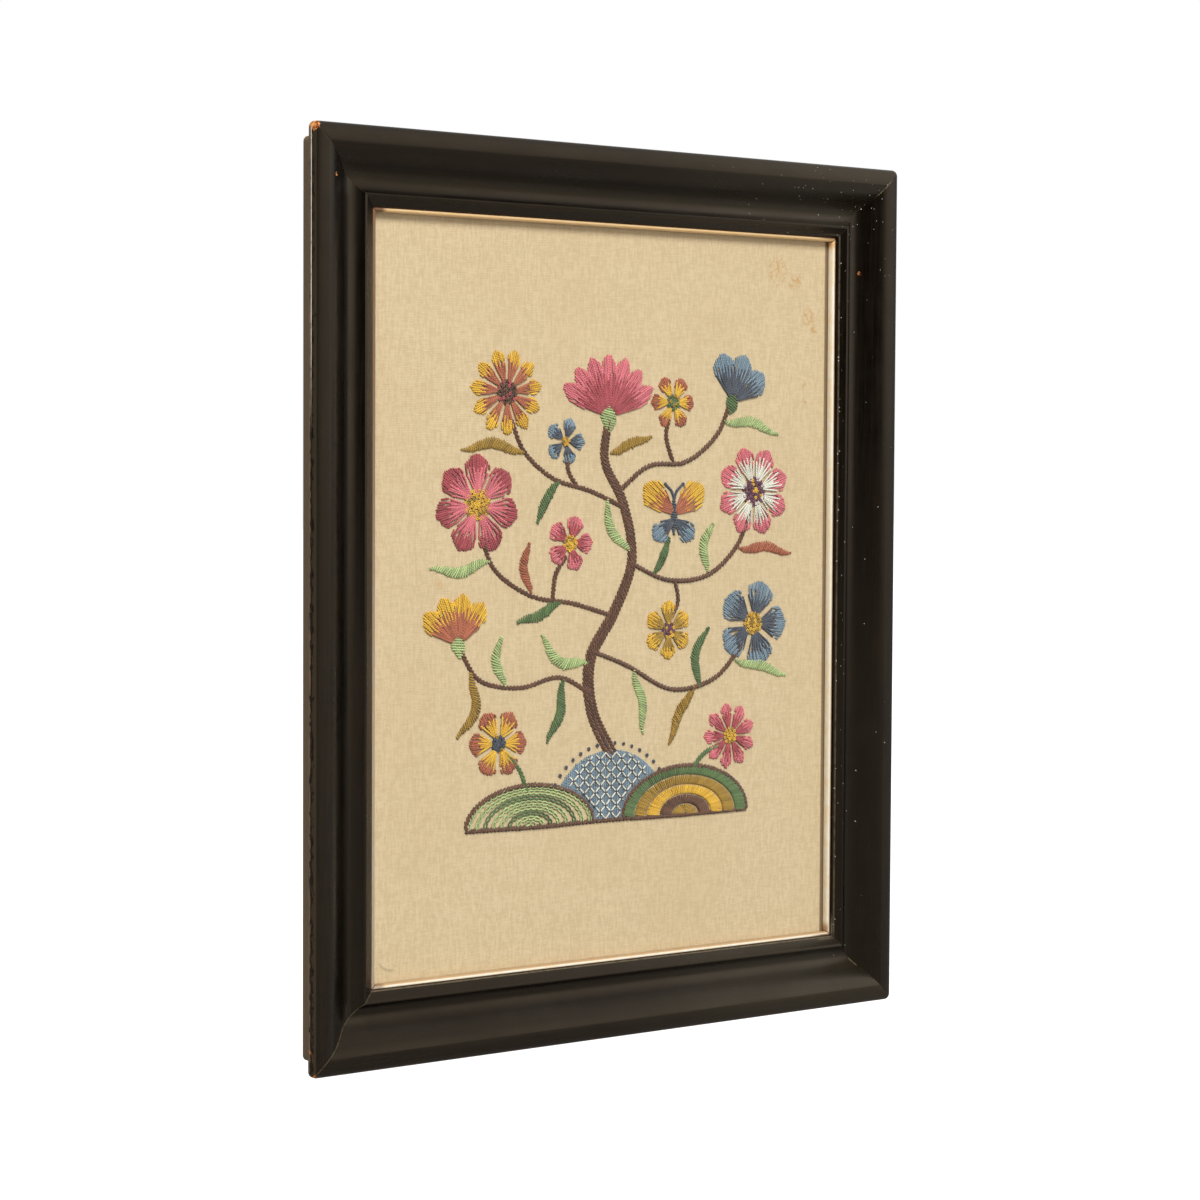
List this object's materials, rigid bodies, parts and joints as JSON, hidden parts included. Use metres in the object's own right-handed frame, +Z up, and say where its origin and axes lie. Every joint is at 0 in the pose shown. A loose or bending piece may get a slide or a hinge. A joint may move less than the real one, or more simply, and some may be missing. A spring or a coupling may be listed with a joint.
{
  "type": "framed crewel embroidery panel",
  "caption": "Upright linen panel worked in wool with a flowering tree, held behind a gilt slip in a black scoop-moulded wood frame, to hang on a wall.",
  "frame": {"origin": "middle of the top rail's back face, in the plane of the wall it hangs on", "axes": "+X to the viewer's right, +Y out of the back into the wall, +Z up; the worked face looks along -Y"},
  "size_m": [0.338, 0.0174, 0.414],
  "materials": {
    "lacquered_wood": "worn semi-gloss black-brown lacquer",
    "gilt_slip": "champagne gilt over wood",
    "linen_and_wool": "plain weave linen worked in crewel wool",
    "hardboard": "bare brown hardboard"
  },
  "bodies": {
    "root": {"rail_top": "lacquered_wood", "rail_bottom": "lacquered_wood", "rail_left": "lacquered_wood", "rail_right": "lacquered_wood", "slip_top": "gilt_slip", "slip_bottom": "gilt_slip", "slip_left": "gilt_slip", "slip_right": "gilt_slip", "embroidered_linen": "linen_and_wool", "backing_board": "hardboard"}
  },
  "joints": []
}
